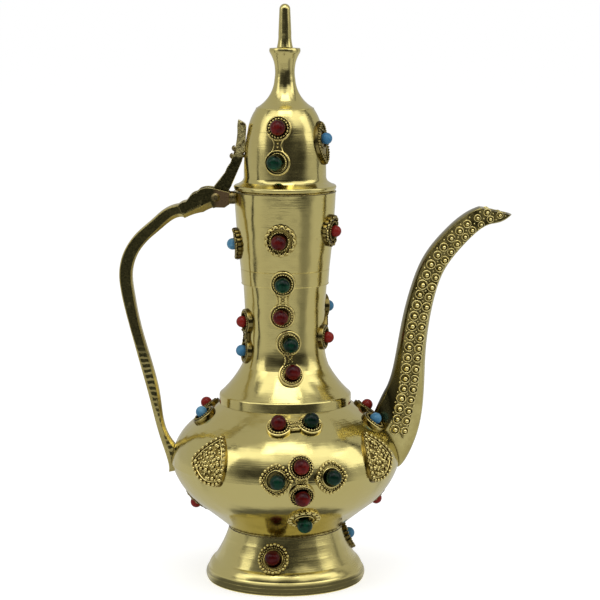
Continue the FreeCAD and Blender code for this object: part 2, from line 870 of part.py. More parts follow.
leaf_seats = [(z_belly + 8.6, 226.5, False), (z_belly + 8.6, 328, True)]


def pair_settings(where, pairs, forms):
    return gathered([double(zone[where], one[:2], two[:2], forms) for one, two in pairs])


def single_settings(where, singles, outline):
    """Cupped plaques, one made for each height and turned to each azimuth."""
    heights = {one[0] for one in singles}
    made = {height: plaque(outline, where, seat(zone[where], height, 0), True) for height in heights}
    return gathered([about_axis(made[one[0]], one[1]) for one in singles])


neck_forms = [neck_core, bowl_core]
shoulder_forms = [bowl_core, neck_core, spout_form]
front_leaves = [
    plaque(leaf(mirror), "bowl", seat(zone["bowl"], height, azimuth), False)
    for height, azimuth, mirror in leaf_seats
]
lid_almond = almond(almond_height, almond_width, almond_drop)
cup_space = Part.makeCylinder(cup_radius + solder_gap, 2 * cup_root, Vector(0, 0, -cup_root))
belly_cups = [placed(cup_space, seat(zone["bowl"], *one[:2])) for pair in belly_pairs for one in pair]

parts = {
    "foot": foot,
    "lower_bowl": lower_bowl,
    "upper_bowl": upper_bowl,
    "neck_lower": neck_lower,
    "neck_upper": neck_upper,
    "lid_dome": lid_dome,
    "lid_finial": lid_finial,
    "lid_strap": lid_strap,
    "strap_rivets": strap_rivets,
    "handle": handle,
    "hinge_pin": hinge_pin,
    "neck_lug": neck_lug,
    "spout": spout,
    "spout_bands": spout_bands,
    "lid_pair_settings": pair_settings("lid", lid_pairs, [lid_core]),
    "lid_side_plaque": single_settings("lid", lid_singles, lid_almond),
    "neck_rosettes": single_settings("neck", neck_singles, scalloped(neck_rosette_radius)),
    "neck_front_settings": pair_settings("neck", neck_front_pairs, neck_forms),
    "neck_side_settings": pair_settings("neck", neck_side_pairs, neck_forms),
    "shoulder_settings": pair_settings("bowl", shoulder_pairs, shoulder_forms),
    "belly_pair_settings": pair_settings("bowl", belly_pairs, [bowl_core]),
    "belly_diamonds": fitted(single_settings("bowl", belly_singles, lozenge(diamond_half)), belly_cups),
    "leaf_plaques": gathered(front_leaves + [about_axis(one, 180) for one in front_leaves]),
    "under_rosettes": single_settings("bowl", under_singles, scalloped(under_rosette_radius)),
    "foot_rosettes": single_settings("foot", foot_singles, scalloped(foot_rosette_radius)),
}

# Beads, gathered by the zone they sit on and by colour
bead_seats = {
    "lid": ("lid", [one for pair in lid_pairs for one in pair] + lid_singles),
    "neck": ("neck", [one for pair in neck_front_pairs + neck_side_pairs for one in pair] + neck_singles),
    "shoulder": ("bowl", [one for pair in shoulder_pairs for one in pair]),
    "belly": ("bowl", [one for pair in belly_pairs for one in pair] + belly_singles),
    "under": ("bowl", under_singles),
    "foot": ("foot", foot_singles),
}
for label, (where, seats) in bead_seats.items():
    for colour in ("red", "green", "turquoise"):
        chosen = [one for one in seats if one[2] == colour]
        if chosen:
            beads = [placed(bead(one[1], *one[3:]), seat(zone[where], *one[:2])) for one in chosen]
            parts[label + "_beads_" + colour] = gathered(beads)

os.makedirs("parts", exist_ok=True)
for name, shape in parts.items():
    shape.exportStep("parts/" + name + ".step")
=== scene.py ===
import json
import math
import random

import bpy
import numpy as np
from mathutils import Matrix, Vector
from mathutils.bvhtree import BVHTree


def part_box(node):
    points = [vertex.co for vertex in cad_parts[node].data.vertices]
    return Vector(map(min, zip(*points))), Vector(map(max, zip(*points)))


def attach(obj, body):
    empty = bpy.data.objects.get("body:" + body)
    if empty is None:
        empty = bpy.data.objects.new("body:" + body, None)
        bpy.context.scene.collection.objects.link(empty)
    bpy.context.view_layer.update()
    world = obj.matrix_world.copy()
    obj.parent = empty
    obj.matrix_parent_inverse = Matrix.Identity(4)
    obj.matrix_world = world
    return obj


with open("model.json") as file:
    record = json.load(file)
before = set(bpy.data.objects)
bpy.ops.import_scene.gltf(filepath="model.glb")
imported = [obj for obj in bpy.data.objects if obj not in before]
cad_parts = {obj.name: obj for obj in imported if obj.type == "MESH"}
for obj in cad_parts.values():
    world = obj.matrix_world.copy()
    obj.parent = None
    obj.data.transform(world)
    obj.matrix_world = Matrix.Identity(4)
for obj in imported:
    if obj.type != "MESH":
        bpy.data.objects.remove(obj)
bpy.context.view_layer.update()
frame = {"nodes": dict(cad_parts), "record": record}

# Jewelled brass coffee pot: looks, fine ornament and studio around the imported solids.
# Metres. The spout points along +X, the shown side faces -Y.

nodes = frame["nodes"]
slots = {part["node"]: part["material_slot"] for part in frame["record"]["subparts"]}
mm = 0.001
chance = random.Random(7)
up_axis = Vector((0, 0, 1))

# Sizes of the settings, as in the solids
cup_floor = 0.45 * mm
cup_floor_radius = 3.9 * mm
ring_radius = 4.45 * mm
rim_radius = 5.55 * mm

# Sizes and heights of the ornament
fine_grain = 0.36 * mm
small_grain = 0.5 * mm
border_grain = 0.6 * mm
leaf_grain = 0.84 * mm
wire_radius = 0.3 * mm
rope_radius = 0.5 * mm
band_rise = 7.4 * mm
lid_crease = 229.8 * mm
solder_stray = 0.12 * mm
grain_spread = (0.86, 1.08)
grain_lift_share = 0.3

# Rays that find the solids' surfaces: over a setting, beside the spout and round the pot
ray_height = 9 * mm
ray_reach = 16 * mm
beside_spout = 30 * mm
round_pot = 200 * mm


# Meshes
def in_scene(name, data):
    """Object of a mesh, a lamp or a camera."""
    made = bpy.data.objects.new(name, data)
    bpy.context.scene.collection.objects.link(made)
    return made


def mesh_object(name, points, faces, material):
    mesh = bpy.data.meshes.new(name)
    mesh.from_pydata(points, [], faces)
    mesh.materials.append(material)
    return in_scene(name, mesh)


class Piece:
    """One riding piece, gathered form by form and then made into an object."""

    def __init__(self):
        self.points = []
        self.faces = []
        self.total = 0

    def add(self, points, faces):
        self.points.append(points)
        self.faces.extend([[self.total + i for i in face] for face in faces])
        self.total += len(points)

    def make(self, name, body, material):
        made = mesh_object(name, np.concatenate(self.points).tolist(), self.faces, material)
        made.data.polygons.foreach_set("use_smooth", [True] * len(made.data.polygons))
        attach(made, body)


def ball_template(rings, segments):
    """Unit ball as poles, rings of points and faces."""
    points = [(0, 0, 1)]
    for i in range(1, rings):
        lat = math.pi * i / rings
        for j in range(segments):
            lon = 2 * math.pi * j / segments
            points.append((math.sin(lat) * math.cos(lon), math.sin(lat) * math.sin(lon), math.cos(lat)))
    points.append((0, 0, -1))
    last = len(points) - 1
    faces = []
    for j in range(segments):
        k = (j + 1) % segments
        faces.append((0, 1 + j, 1 + k))
        for i in range(rings - 2):
            a = 1 + i * segments
            faces.append((a + j, a + segments + j, a + segments + k, a + k))
        a = last - segments
        faces.append((a + j, last, a + k))
    return np.array(points), faces


ball_points, ball_faces = ball_template(rings=6, segments=9)


def grain(piece, centre, radius, normal=None, flatten=1.0):
    """Small ball, pressed along the normal if flatten is under 1."""
    points = ball_points * radius
    if normal is not None:
        axis = np.array(normal)
        points = points - np.outer(points @ axis, axis) * (1 - flatten)
    piece.add(points + np.array(centre), ball_faces)


def unit(vectors):
    """Each vector at length 1."""
    return vectors / np.linalg.norm(vectors, axis=1, keepdims=True)


def directions(path, closed):
    """Unit vectors along a line, one for each point."""
    run = unit(np.roll(path, -1, axis=0) - path) + unit(path - np.roll(path, 1, axis=0))
    if not closed:
        run[0] = path[1] - path[0]
        run[-1] = path[-1] - path[-2]
    return unit(run)


def tube(piece, path, radius, normal, closed=False, sides=8):
    """Round wire along a path; radius may differ from point to point."""
    path = np.array(path)
    count = len(path)
    radius = np.broadcast_to(radius, (count,))
    run = directions(path, closed)
    normal = np.broadcast_to(np.array(normal), path.shape)
    side = unit(np.cross(run, normal))
    rise = np.cross(side, run)
    points = []
    for k in range(sides):
        turn = 2 * math.pi * k / sides
        points.append(path + (side * math.cos(turn) + rise * math.sin(turn)) * radius[:, None])
    points = np.stack(points, axis=1).reshape(-1, 3)
    faces = []
    for i in range(count if closed else count - 1):
        a, b = i * sides, (i + 1) % count * sides
        for k in range(sides):
            following = (k + 1) % sides
            faces.append((a + k, a + following, b + following, b + k))
    if not closed:
        faces.append(tuple(range(sides - 1, -1, -1)))
        faces.append(tuple(range((count - 1) * sides, count * sides)))
    piece.add(points, faces)


def with_return(path, closed):
    """Points of a line, with its start again at the end if it is closed."""
    path = np.array(path)
    return np.vstack([path, path[:1]]) if closed else path


def resampled(path, count, closed):
    """The same line with evenly spaced points."""
    path = with_return(path, closed)
    along = np.concatenate([[0], np.cumsum(np.linalg.norm(np.diff(path, axis=0), axis=1))])
    stops = np.linspace(0, along[-1], count + 1)[:-1] if closed else np.linspace(0, along[-1], count)
    return np.stack([np.interp(stops, along, column) for column in path.T], axis=1)


def length_of(path, closed):
    """Length of a line, with the way back to its start if it is closed."""
    return float(np.linalg.norm(np.diff(with_return(path, closed), axis=0), axis=1).sum())


def rope(piece, path, radius, normal, closed=False, lay=3.2):
    """Two strands twisted about each other along a path; lay is the turn's length in rope radii."""
    strand_offset = 0.5 * radius
    strand_radius = 0.56 * radius
    turns = max(2, round(length_of(path, closed) / (lay * radius)))
    fine = resampled(path, turns * 8, closed)
    run = directions(fine, closed)
    side = unit(np.cross(run, np.broadcast_to(np.array(normal), fine.shape)))
    turn = np.linspace(0, 2 * math.pi * turns, len(fine), endpoint=not closed)[:, None] / 2
    for phase in (0, math.pi):
        swing = side * np.cos(turn + phase) + np.cross(side, run) * np.sin(turn + phase)
        tube(piece, fine + swing * strand_offset, strand_radius, normal, closed, sides=6)


# Seats and surfaces
def surface_of(names):
    """Search tree over the solids' faces."""
    points, faces = [], []
    for name in names:
        mesh = nodes[name].data
        start = len(points)
        points.extend([v.co.copy() for v in mesh.vertices])
        faces.extend([[start + i for i in polygon.vertices] for polygon in mesh.polygons])
    return BVHTree.FromPolygons(points, faces)


def islands(name):
    """Points of each separate solid in a node."""
    mesh = nodes[name].data
    spots = [tuple(round(c, 7) for c in v.co) for v in mesh.vertices]
    first = {}
    owner = [first.setdefault(spot, i) for i, spot in enumerate(spots)]

    def root(i):
        while owner[i] != i:
            owner[i] = owner[owner[i]]
            i = owner[i]
        return i

    for polygon in mesh.polygons:
        a = root(polygon.vertices[0])
        for i in polygon.vertices[1:]:
            owner[root(i)] = a
    groups = {}
    for i, spot in enumerate(spots):
        groups.setdefault(root(i), []).append(spot)
    return [np.array(group) for group in groups.values()]


class Seat:
    """Place on a wall with its outward normal and the directions across and up the wall."""

    def __init__(self, near):
        self.point = walls.find_nearest(near)[0]
        self.normal = (near - self.point).normalized()
        self.across = up_axis.cross(self.normal).normalized()
        self.up = self.normal.cross(self.across)

    def at(self, a, b, height=0.0):
        return self.point + self.across * a + self.up * b + self.normal * height

    def local(self, points):
        """Points as distances across, up and off the wall."""
        axes = np.array([self.across, self.up, self.normal])
        return (np.array(points) - np.array(self.point)) @ axes.T

    def on(self, surface, a, b):
        """Point of a surface above or below (a, b), or None."""
        return surface.ray_cast(self.at(a, b, ray_height), -self.normal, ray_reach)[0]


def ball_centre(points):
    """Centre of the ball or circle that the points lie on."""
    system = np.hstack([2 * points, np.ones((len(points), 1))])
    found = np.linalg.lstsq(system, (points ** 2).sum(axis=1), rcond=None)[0]
    return found[:-1]


def cup_under(bead, name):
    """Seat at the middle of the cup that a bead lies in, from the round edge of the cup's floor."""
    local = bead.local([v.co for v in nodes[name].data.vertices])
    near = np.hypot(local[:, 0], local[:, 1]) < 1.4 * cup_floor_radius
    level = np.abs(local[:, 2] - cup_floor) < 0.3 * mm
    a, b = ball_centre(local[near & level, :2])
    return Seat(bead.at(a, b, ring_radius))


wall_names = ["foot", "lower_bowl", "upper_bowl", "neck_lower", "neck_upper", "lid_dome"]
walls = surface_of(wall_names)
setting_names = [name for name, slot in slots.items() if slot == "filigree" and name != "leaf_plaques"]
setting_surface = {name: surface_of([name]) for name in setting_names}

settings = {name: [] for name in setting_names}
for name in slots:
    if "_beads_" in name:
        for points in islands(name):
            bead = Vector(ball_centre(points))
            nearest = min(setting_names, key=lambda one: setting_surface[one].find_nearest(bead)[3])
            settings[nearest].append(cup_under(Seat(bead), nearest))


def pairs_of(seats):
    """Each seat with its nearest neighbour, once per pair."""
    left = list(seats)
    found = []
    while left:
        one = left.pop(0)
        two = min(left, key=lambda other: (other.point - one.point).length)
        left.remove(two)
        found.append((one, two))
    return found


# Materials
class Nodes:
    """Short way to write the node tree of a material or of the world."""

    def __init__(self, name, kind="materials", shader="Principled BSDF"):
        self.owner = getattr(bpy.data, kind).new(name)
        self.owner.use_nodes = True
        self.tree = self.owner.node_tree
        self.shader = self.tree.nodes[shader]
        self.place = self.new("ShaderNodeTexCoord").outputs["Object"]

    def new(self, kind, **values):
        """A node with its settings, or the values of its inputs, by name."""
        node = self.tree.nodes.new(kind)
        for key, value in values.items():
            if hasattr(node, key):
                setattr(node, key, value)
            else:
                node.inputs[key.replace("_", " ")].default_value = value
        return node

    def link(self, start, stop):
        self.tree.links.new(start, stop)

    def noise(self, scale, detail=3.0, rough=0.55, stretch=None):
        vector = self.place
        if stretch:
            mapping = self.new("ShaderNodeMapping", Scale=stretch)
            self.link(vector, mapping.inputs["Vector"])
            vector = mapping.outputs["Vector"]
        node = self.new("ShaderNodeTexNoise", Scale=scale, Detail=detail, Roughness=rough)
        self.link(vector, node.inputs["Vector"])
        return node.outputs["Fac"]

    def ramp(self, value, stops):
        node = self.new("ShaderNodeValToRGB")
        ramp = node.color_ramp
        while len(ramp.elements) < len(stops):
            ramp.elements.new(0.5)
        for element, (position, colour) in zip(ramp.elements, stops):
            element.position = position
            element.color = (*colour, 1) if isinstance(colour, tuple) else (colour, colour, colour, 1)
        self.link(value, node.inputs["Fac"])
        return node.outputs["Color"]

    def mix(self, factor, one, two):
        """One colour where the factor is 0, the other where it is 1."""
        node = self.new("ShaderNodeMix", data_type="RGBA")
        for value, socket in ((factor, node.inputs[0]), (one, node.inputs[6]), (two, node.inputs[7])):
            if isinstance(value, (tuple, float, int)):
                socket.default_value = (*value, 1) if isinstance(value, tuple) else value
            else:
                self.link(value, socket)
        return node.outputs[2]

    def maths(self, operation, one, two=0.0):
        node = self.new("ShaderNodeMath", operation=operation)
        for value, socket in ((one, node.inputs[0]), (two, node.inputs[1])):
            if isinstance(value, (float, int)):
                socket.default_value = value
            else:
                self.link(value, socket)
        return node.outputs[0]

    def band(self, value, low, high, soft):
        """1 between two limits and 0 outside, with soft edges."""
        sides = []
        for limit, start, stop in ((low, 0.0, 1.0), (high, 1.0, 0.0)):
            node = self.new("ShaderNodeMapRange", interpolation_type="SMOOTHSTEP", From_Min=limit - soft,
                            From_Max=limit + soft, To_Min=start, To_Max=stop)
            self.link(value, node.inputs["Value"])
            sides.append(node.outputs["Result"])
        return self.maths("MULTIPLY", *sides)

    def split(self, vector):
        """The three parts of a vector."""
        node = self.new("ShaderNodeSeparateXYZ")
        self.link(vector, node.inputs["Vector"])
        return [node.outputs[axis] for axis in "XYZ"]

    def dot(self, one, two):
        node = self.new("ShaderNodeVectorMath", operation="DOT_PRODUCT")
        self.link(one, node.inputs[0])
        self.link(two, node.inputs[1])
        return node.outputs["Value"]

    def facing(self):
        """1 where a face looks straight away from the pot's axis, 0 where it looks along the wall."""
        x, y, _ = self.split(self.place)
        out = self.new("ShaderNodeCombineXYZ")
        self.link(x, out.inputs["X"])
        self.link(y, out.inputs["Y"])
        way = self.new("ShaderNodeVectorMath", operation="NORMALIZE")
        self.link(out.outputs["Vector"], way.inputs[0])
        return self.dot(way.outputs["Vector"], self.new("ShaderNodeNewGeometry").outputs["Normal"])

    def softened(self, radius):
        """Rounds the edges in the shading; 1 close to an edge and 0 on the flats."""
        bevel = self.new("ShaderNodeBevel", samples=4, Radius=radius).outputs["Normal"]
        self.link(bevel, self.shader.inputs["Normal"])
        flat = self.dot(bevel, self.new("ShaderNodeNewGeometry").outputs["Normal"])
        return self.ramp(flat, [(0.90, 1.0), (0.985, 0.0)])

    def hollows(self, reach, stops):
        """Painted shade: ramp by ambient occlusion from closed-in places to open ones."""
        node = self.new("ShaderNodeAmbientOcclusion", samples=6, Distance=reach)
        return self.ramp(node.outputs["AO"], stops)

    def bump(self, height, strength, distance):
        """Relief in the shading, on top of any that is there."""
        node = self.new("ShaderNodeBump", Strength=strength, Distance=distance)
        self.link(height, node.inputs["Height"])
        under = self.shader.inputs["Normal"].links
        if under:
            self.link(under[0].from_socket, node.inputs["Normal"])
        self.link(node.outputs["Normal"], self.shader.inputs["Normal"])

    def set(self, **values):
        for key, value in values.items():
            self.shader.inputs[key.replace("_", " ")].default_value = value

    def normal(self, kind="Normal"):
        """The parts of the surface's normal; True Normal is the face's own."""
        return self.split(self.new("ShaderNodeNewGeometry").outputs[kind])

    def less(self, value, share, amount):
        """A value taken down by an amount where the share is 1."""
        kept = self.maths("SUBTRACT", 1.0, self.maths("MULTIPLY", share, amount))
        return self.maths("MULTIPLY", value, kept)

    def uneven(self, value, cloud, amount):
        """A value that strays with a noise."""
        return self.maths("ADD", value, self.maths("MULTIPLY", self.maths("SUBTRACT", cloud, 0.5), amount))

    def shown_rays(self):
        """1 for camera, glossy and transmission rays, else 0."""
        path = self.new("ShaderNodeLightPath").outputs
        shown = self.maths("MAXIMUM", path["Is Camera Ray"], path["Is Glossy Ray"])
        return self.maths("MAXIMUM", shown, path["Is Transmission Ray"])

    def metal(self, colour, roughness):
        """Bare metal of a colour and a roughness."""
        self.set(Metallic=1.0)
        self.link(colour, self.shader.inputs["Base Color"])
        self.link(roughness, self.shader.inputs["Roughness"])


# Places where the wear changes, and a limit lower than any
no_limit = -1.0
strap_bend = 207 * mm
nose_start = -33.4 * mm
worn_slope = 0.298
worn_edge = -37.8 * mm
tooth_pitch = 2.7 * mm
teeth_top = 112 * mm
spout_root = 104 * mm
side_depth = 15 * mm

# Colours
brass = (0.73, 0.635, 0.25)
brass_warm = (0.70, 0.57, 0.20)
# Painted shade for the hollows of the cast spout and the handle
hollow_shade_brass = (0.10, 0.075, 0.018)
# Painted shade deep in the filigree's hollows
filigree_hollow_shade = (0.04, 0.027, 0.006)
olive_dark = (0.045, 0.042, 0.016)
olive_light = (0.115, 0.10, 0.038)
nose_copper = (0.26, 0.17, 0.085)
tarnish = (0.16, 0.10, 0.03)
# Painted light: lighter red of the beads at the pot's sides, lit from behind
side_lit_red = (0.29, 0.022, 0.016)


def turned_brass(name, smooth, rough, rolled=()):
    """Turned and buffed sheet with fine turning lines, a warm cast in places and tarnish specks.
    Rolled gives heights between which the shading is tilted, and by how much."""
    m = Nodes(name)
    lines = m.noise(1.0, 4.0, 0.7, (30, 30, 1500))
    broad = m.noise(22.0)
    specks = m.ramp(m.noise(420.0, 2.0), [(0.70, 0.0), (0.76, 1.0)])
    patches = m.ramp(m.noise(34.0, 4.0, 0.65), [(0.56, 0.0), (0.72, 1.0)])
    colour = m.mix(m.ramp(broad, [(0.40, 0.0), (0.75, 0.5)]), brass, brass_warm)
    colour = m.mix(m.maths("MULTIPLY", specks, patches), colour, tarnish)
    haze = m.ramp(m.noise(38.0, 3.0, 0.6, (1, 1, 0.6)), [(0.5, 0.0), (0.75, 0.12)])
    m.metal(colour, m.maths("ADD", m.ramp(lines, [(0.3, smooth), (0.75, rough)]), haze))
    m.bump(m.noise(55.0, 2.0), 0.4, 2 * mm)
    m.bump(lines, 0.22, 0.2 * mm)
    for low, high, turn in rolled:
        fall = m.new("ShaderNodeMapRange", From_Min=low, From_Max=high, To_Max=(low - high) * math.tan(turn))
        m.link(m.split(m.place)[2], fall.inputs["Value"])
        m.bump(fall.outputs["Result"], 1.0, 1.0)
    return m.owner


def cast_brass():
    """Cast and filed brass of the spout, grainy, with painted shade on its faces that look towards the pot,
    darkest near the root, and in its hollows.
    """
    m = Nodes("cast_brass")
    m.softened(0.8 * mm)
    coarse = m.noise(90.0, 5.0, 0.65)
    fine = m.noise(900.0, 3.0, 0.6)
    root = m.band(m.split(m.place)[2], no_limit, spout_root, 14 * mm)
    bright = m.mix(root, (0.58, 0.50, 0.19), brass)
    colour = m.mix(m.ramp(coarse, [(0.42, 0.0), (0.72, 0.8)]), bright, (0.46, 0.38, 0.125))
    # Painted shade: faces that look towards the pot are dark, darkest near the root
    inner = m.mix(root, (0.26, 0.22, 0.085), (0.045, 0.036, 0.012))
    potwards = m.maths("MULTIPLY", m.normal("True Normal")[0], -1.0)
    colour = m.mix(m.ramp(potwards, [(0.1, 0.0), (0.35, 0.95)]), colour, inner)
    # Painted shade in the hollows
    colour = m.mix(m.hollows(2.2 * mm, [(0.35, 0.0), (0.85, 1.0)]), hollow_shade_brass, colour)
    m.metal(colour, m.ramp(fine, [(0.3, 0.10), (0.8, 0.26)]))
    m.bump(m.mix(0.5, coarse, fine), 0.25, 0.3 * mm)
    return m.owner


def band_brass(name, dark, light):
    """Ground between florets or granules, coloured dark as painted shade among them."""
    m = Nodes(name)
    coarse = m.noise(260.0, 4.0, 0.6)
    m.metal(m.ramp(coarse, [(0.35, dark), (0.7, light)]), m.ramp(coarse, [(0.3, 0.18), (0.8, 0.36)]))
    m.bump(coarse, 0.2, 0.3 * mm)
    return m.owner


def handle_brass():
    """Rough cast bar: dull olive on its upright sides, rubbed bright on its edges, slopes and outer foot,
    with file marks along the inner foot."""
    m = Nodes("handle_brass")
    edges = m.softened(0.5 * mm)
    coarse = m.noise(160.0, 5.0, 0.65)
    fine = m.noise(1100.0, 3.0, 0.6)
    upright = m.maths("ABSOLUTE", m.normal("True Normal")[1])
    dull = m.ramp(m.uneven(upright, coarse, 0.25), [(0.86, 0.0), (0.97, 1.0)])
    bright = m.mix(m.ramp(coarse, [(0.4, 0.0), (0.7, 0.8)]), (0.70, 0.60, 0.24), (0.42, 0.33, 0.10))
    olive = m.mix(m.ramp(fine, [(0.35, 0.0), (0.75, 1.0)]), olive_dark, olive_light)
    x, _, z = m.split(m.place)
    olive = m.mix(m.band(x, nose_start, 0.0, 1.5 * mm), olive, nose_copper)
    across = m.uneven(m.maths("ADD", x, m.maths("MULTIPLY", z, worn_slope)), coarse, 1.5 * mm)
    lightened = m.band(across, no_limit, worn_edge, 0.3 * mm)
    turns = m.maths("ADD", m.maths("MULTIPLY", z, 2 * math.pi / tooth_pitch),
                    m.maths("MULTIPLY", coarse, 9.0))
    teeth = m.maths("MULTIPLY", m.ramp(m.maths("SINE", turns), [(0.15, 0.0), (0.5, 1.0)]),
                    m.band(z, no_limit, teeth_top, 6 * mm))
    for share, amount in ((edges, 0.8), (lightened, 1.0), (teeth, 0.8)):
        dull = m.less(dull, share, amount)
    # Painted shade in the hollows
    colour = m.mix(m.hollows(0.8 * mm, [(0.3, 0.0), (0.8, 1.0)]), hollow_shade_brass, m.mix(dull, bright, olive))
    m.metal(colour, m.ramp(fine, [(0.3, 0.24), (0.8, 0.45)]))
    m.bump(m.mix(0.4, coarse, fine), 0.35, 0.3 * mm)
    return m.owner


def strap_brass():
    """Hammered lever: bright and pitted at the lid, dull olive down at the fork."""
    m = Nodes("strap_brass")
    edges = m.softened(0.6 * mm)
    coarse = m.noise(420.0, 3.0, 0.5)
    fine = m.noise(1100.0, 3.0, 0.6)
    low = m.band(m.split(m.place)[2], no_limit, strap_bend, 1.5 * mm)
    upright = m.maths("ABSOLUTE", m.normal("True Normal")[1])
    dull = m.maths("MULTIPLY", low, m.ramp(upright, [(0.75, 0.0), (0.95, 1.0)]))
    bright = m.mix(m.ramp(coarse, [(0.36, 1.0), (0.46, 0.0)]), (0.95, 0.82, 0.36), (0.16, 0.11, 0.03))
    olive = m.mix(m.ramp(fine, [(0.35, 0.0), (0.75, 1.0)]), olive_dark, olive_light)
    colour = m.mix(m.less(dull, edges, 0.8), bright, olive)
    m.metal(colour, m.ramp(fine, [(0.3, 0.18), (0.8, 0.36)]))
    m.bump(m.mix(0.3, coarse, fine), 0.6, 0.6 * mm)
    return m.owner


def dark_brass():
    """Tarnished pins, rivets, lug and solder, and the dark ring that is painted shade in the gap under the
    lid.
    """
    m = Nodes("dark_brass")
    fine = m.noise(900.0, 3.0, 0.6)
    colour = m.ramp(fine, [(0.35, (0.13, 0.10, 0.045)), (0.7, (0.30, 0.24, 0.10))])
    m.metal(colour, m.ramp(fine, [(0.3, 0.22), (0.8, 0.42)]))
    m.bump(fine, 0.25, 0.3 * mm)
    return m.owner


def filigree_brass(name, sided, stops, top):
    """Stamped and soldered ornament with painted shade: brown in its hollows and, if sided, darker at the
    pot's sides and down the cups' walls. Stops say how open a place is where it is brown, yellow and of the
    top colour."""
    m = Nodes(name)
    fine = m.noise(700.0)
    # Painted shade: how open a place is, by ambient occlusion, sets how brown it is
    lightened = m.uneven(m.hollows(3.0 * mm, [(0.0, 0.0), (1.0, 1.0)]), fine, 0.25)
    colour = m.ramp(lightened, list(zip(stops, [filigree_hollow_shade, (0.50, 0.39, 0.10), top])))
    if sided:
        # Painted shade: faces that look along the wall, such as the cups' walls, are darker
        colour = m.mix(m.ramp(m.facing(), [(0.05, 0.0), (0.42, 1.0)]), (0.13, 0.092, 0.024), colour)
        # Painted shade: settings at the pot's sides are darker
        beside = m.band(m.split(m.place)[1], -side_depth, side_depth, 3 * mm)
        colour = m.mix(m.maths("MULTIPLY", beside, 0.7), colour, (0.10, 0.07, 0.018))
    m.metal(colour, m.ramp(fine, [(0.3, 0.08), (0.8, 0.18)]))
    m.bump(fine, 0.12, 0.2 * mm)
    return m.owner


def bead_glass(name, dark, light, clouds, roughness, glow_share, side_lit_colour=None):
    """Glossy bead with cloudy colour and painted light, lighter below where light gathers in it.
    Beads at the pot's sides may take a lighter colour, painted light that shines through them from behind."""
    m = Nodes(name)
    m.set(Roughness=roughness, IOR=1.45, Specular_IOR_Level=0.2)
    cloud = m.noise(clouds, 4.0, 0.6)
    # Painted light: the lower half of the bead is lighter
    glow = m.maths("ADD", cloud, m.maths("MULTIPLY", m.normal()[2], -glow_share))
    clear = m.ramp(m.noise(45.0, 0.0), [(0.35, 0.35), (0.62, 1.0)])
    colour = m.mix(m.maths("MULTIPLY", m.ramp(glow, [(0.30, 0.0), (0.72, 1.0)]), clear), dark, light)
    if side_lit_colour:
        # Painted light: beads at the pot's sides take the lighter side-lit colour
        beside = m.band(m.split(m.place)[1], -side_depth, side_depth, 2 * mm)
        colour = m.mix(beside, colour, side_lit_colour)
    m.link(colour, m.shader.inputs["Base Color"])
    m.bump(cloud, 0.03, 0.3 * mm)
    return m.owner


# Where the shading is tilted, so that foot and collar mirror what the photograph shows: heights and angle
foot_rolls = [
    (0.1 * mm, 1.9 * mm, math.radians(18)),
    (1.9 * mm, 3.9 * mm, math.radians(-12)),
    (3.9 * mm, 5.8 * mm, math.radians(-36)),
    (10.5 * mm, 15.5 * mm, math.radians(-13)),
    (15.5 * mm, 21.0 * mm, math.radians(-9)),
    (21.0 * mm, 27.0 * mm, math.radians(-4)),
]
collar_roll = [(82.0 * mm, 91.2 * mm, math.radians(10))]

# One material for each of the record's slots, then the looks of single nodes and pieces
materials = {
    "polished_brass": turned_brass("polished_brass", 0.08, 0.17),
    "cast_brass": cast_brass(),
    "filigree": filigree_brass("filigree", True, (0.33, 0.56, 0.74), (0.92, 0.77, 0.29)),
    "red_bead": bead_glass("red_bead", (0.04, 0.002, 0.003), (0.24, 0.016, 0.011), 300.0, 0.1, 0.16, side_lit_red),
    "green_bead": bead_glass("green_bead", (0.001, 0.006, 0.004), (0.009, 0.085, 0.04), 300.0, 0.1, 0.16),
    "turquoise_bead": bead_glass("turquoise_bead", (0.045, 0.20, 0.39), (0.20, 0.45, 0.63), 460.0, 0.2, 0.0),
    "satin": turned_brass("satin_brass", 0.13, 0.24, foot_rolls),
    "collared": turned_brass("collared_brass", 0.08, 0.17, collar_roll),
    "floret": filigree_brass("floret_brass", False, (0.36, 0.50, 0.64), (1.0, 0.87, 0.38)),
    # Rosette plates with deeper painted shade in their hollows
    "plate": filigree_brass("plate_brass", True, (0.45, 0.78, 0.97), (0.80, 0.64, 0.22)),
    "band": band_brass("band_brass", (0.085, 0.066, 0.017), (0.56, 0.46, 0.155)),
    "leaf": band_brass("leaf_brass", (0.17, 0.12, 0.025), (0.60, 0.46, 0.13)),
    "handle": handle_brass(),
    "strap": strap_brass(),
    "dark": dark_brass(),
}
own_look = {
    "foot": "satin",
    "neck_lower": "collared",
    "spout_bands": "band",
    "leaf_plaques": "leaf",
    "neck_rosettes": "plate",
    "foot_rosettes": "plate",
    "handle": "handle",
    "lid_strap": "strap",
    "neck_lug": "dark",
    "hinge_pin": "dark",
    "strap_rivets": "dark",
}
for name, node in nodes.items():
    node.data.materials[0] = materials[own_look.get(name, slots[name])]


# Flat lines on a seat
edge_points = 180


def circle(radius, count=120):
    """Points of a circle round the seat's middle."""
    turn = np.linspace(0, 2 * math.pi, count, endpoint=False)
    return np.stack([np.cos(turn), np.sin(turn)], axis=1) * radius


def edge_line(seat, surface, reach=14 * mm):
    """Outline of the plaque round a seat, found by steps outwards and then by halving the last step."""
    step = 0.5 * mm
    halvings = 5
    line = []
    for way in circle(1.0, edge_points):
        near, far = 0.0, None
        while far is None:
            radius = near + step
            if seat.on(surface, *(way * radius)) is None or radius > reach:
                far = radius
            else:
                near = radius
        for _ in range(halvings):
            radius = (near + far) / 2
            if seat.on(surface, *(way * radius)) is None:
                far = radius
            else:
                near = radius
        line.append(way * near)
    return np.array(line)


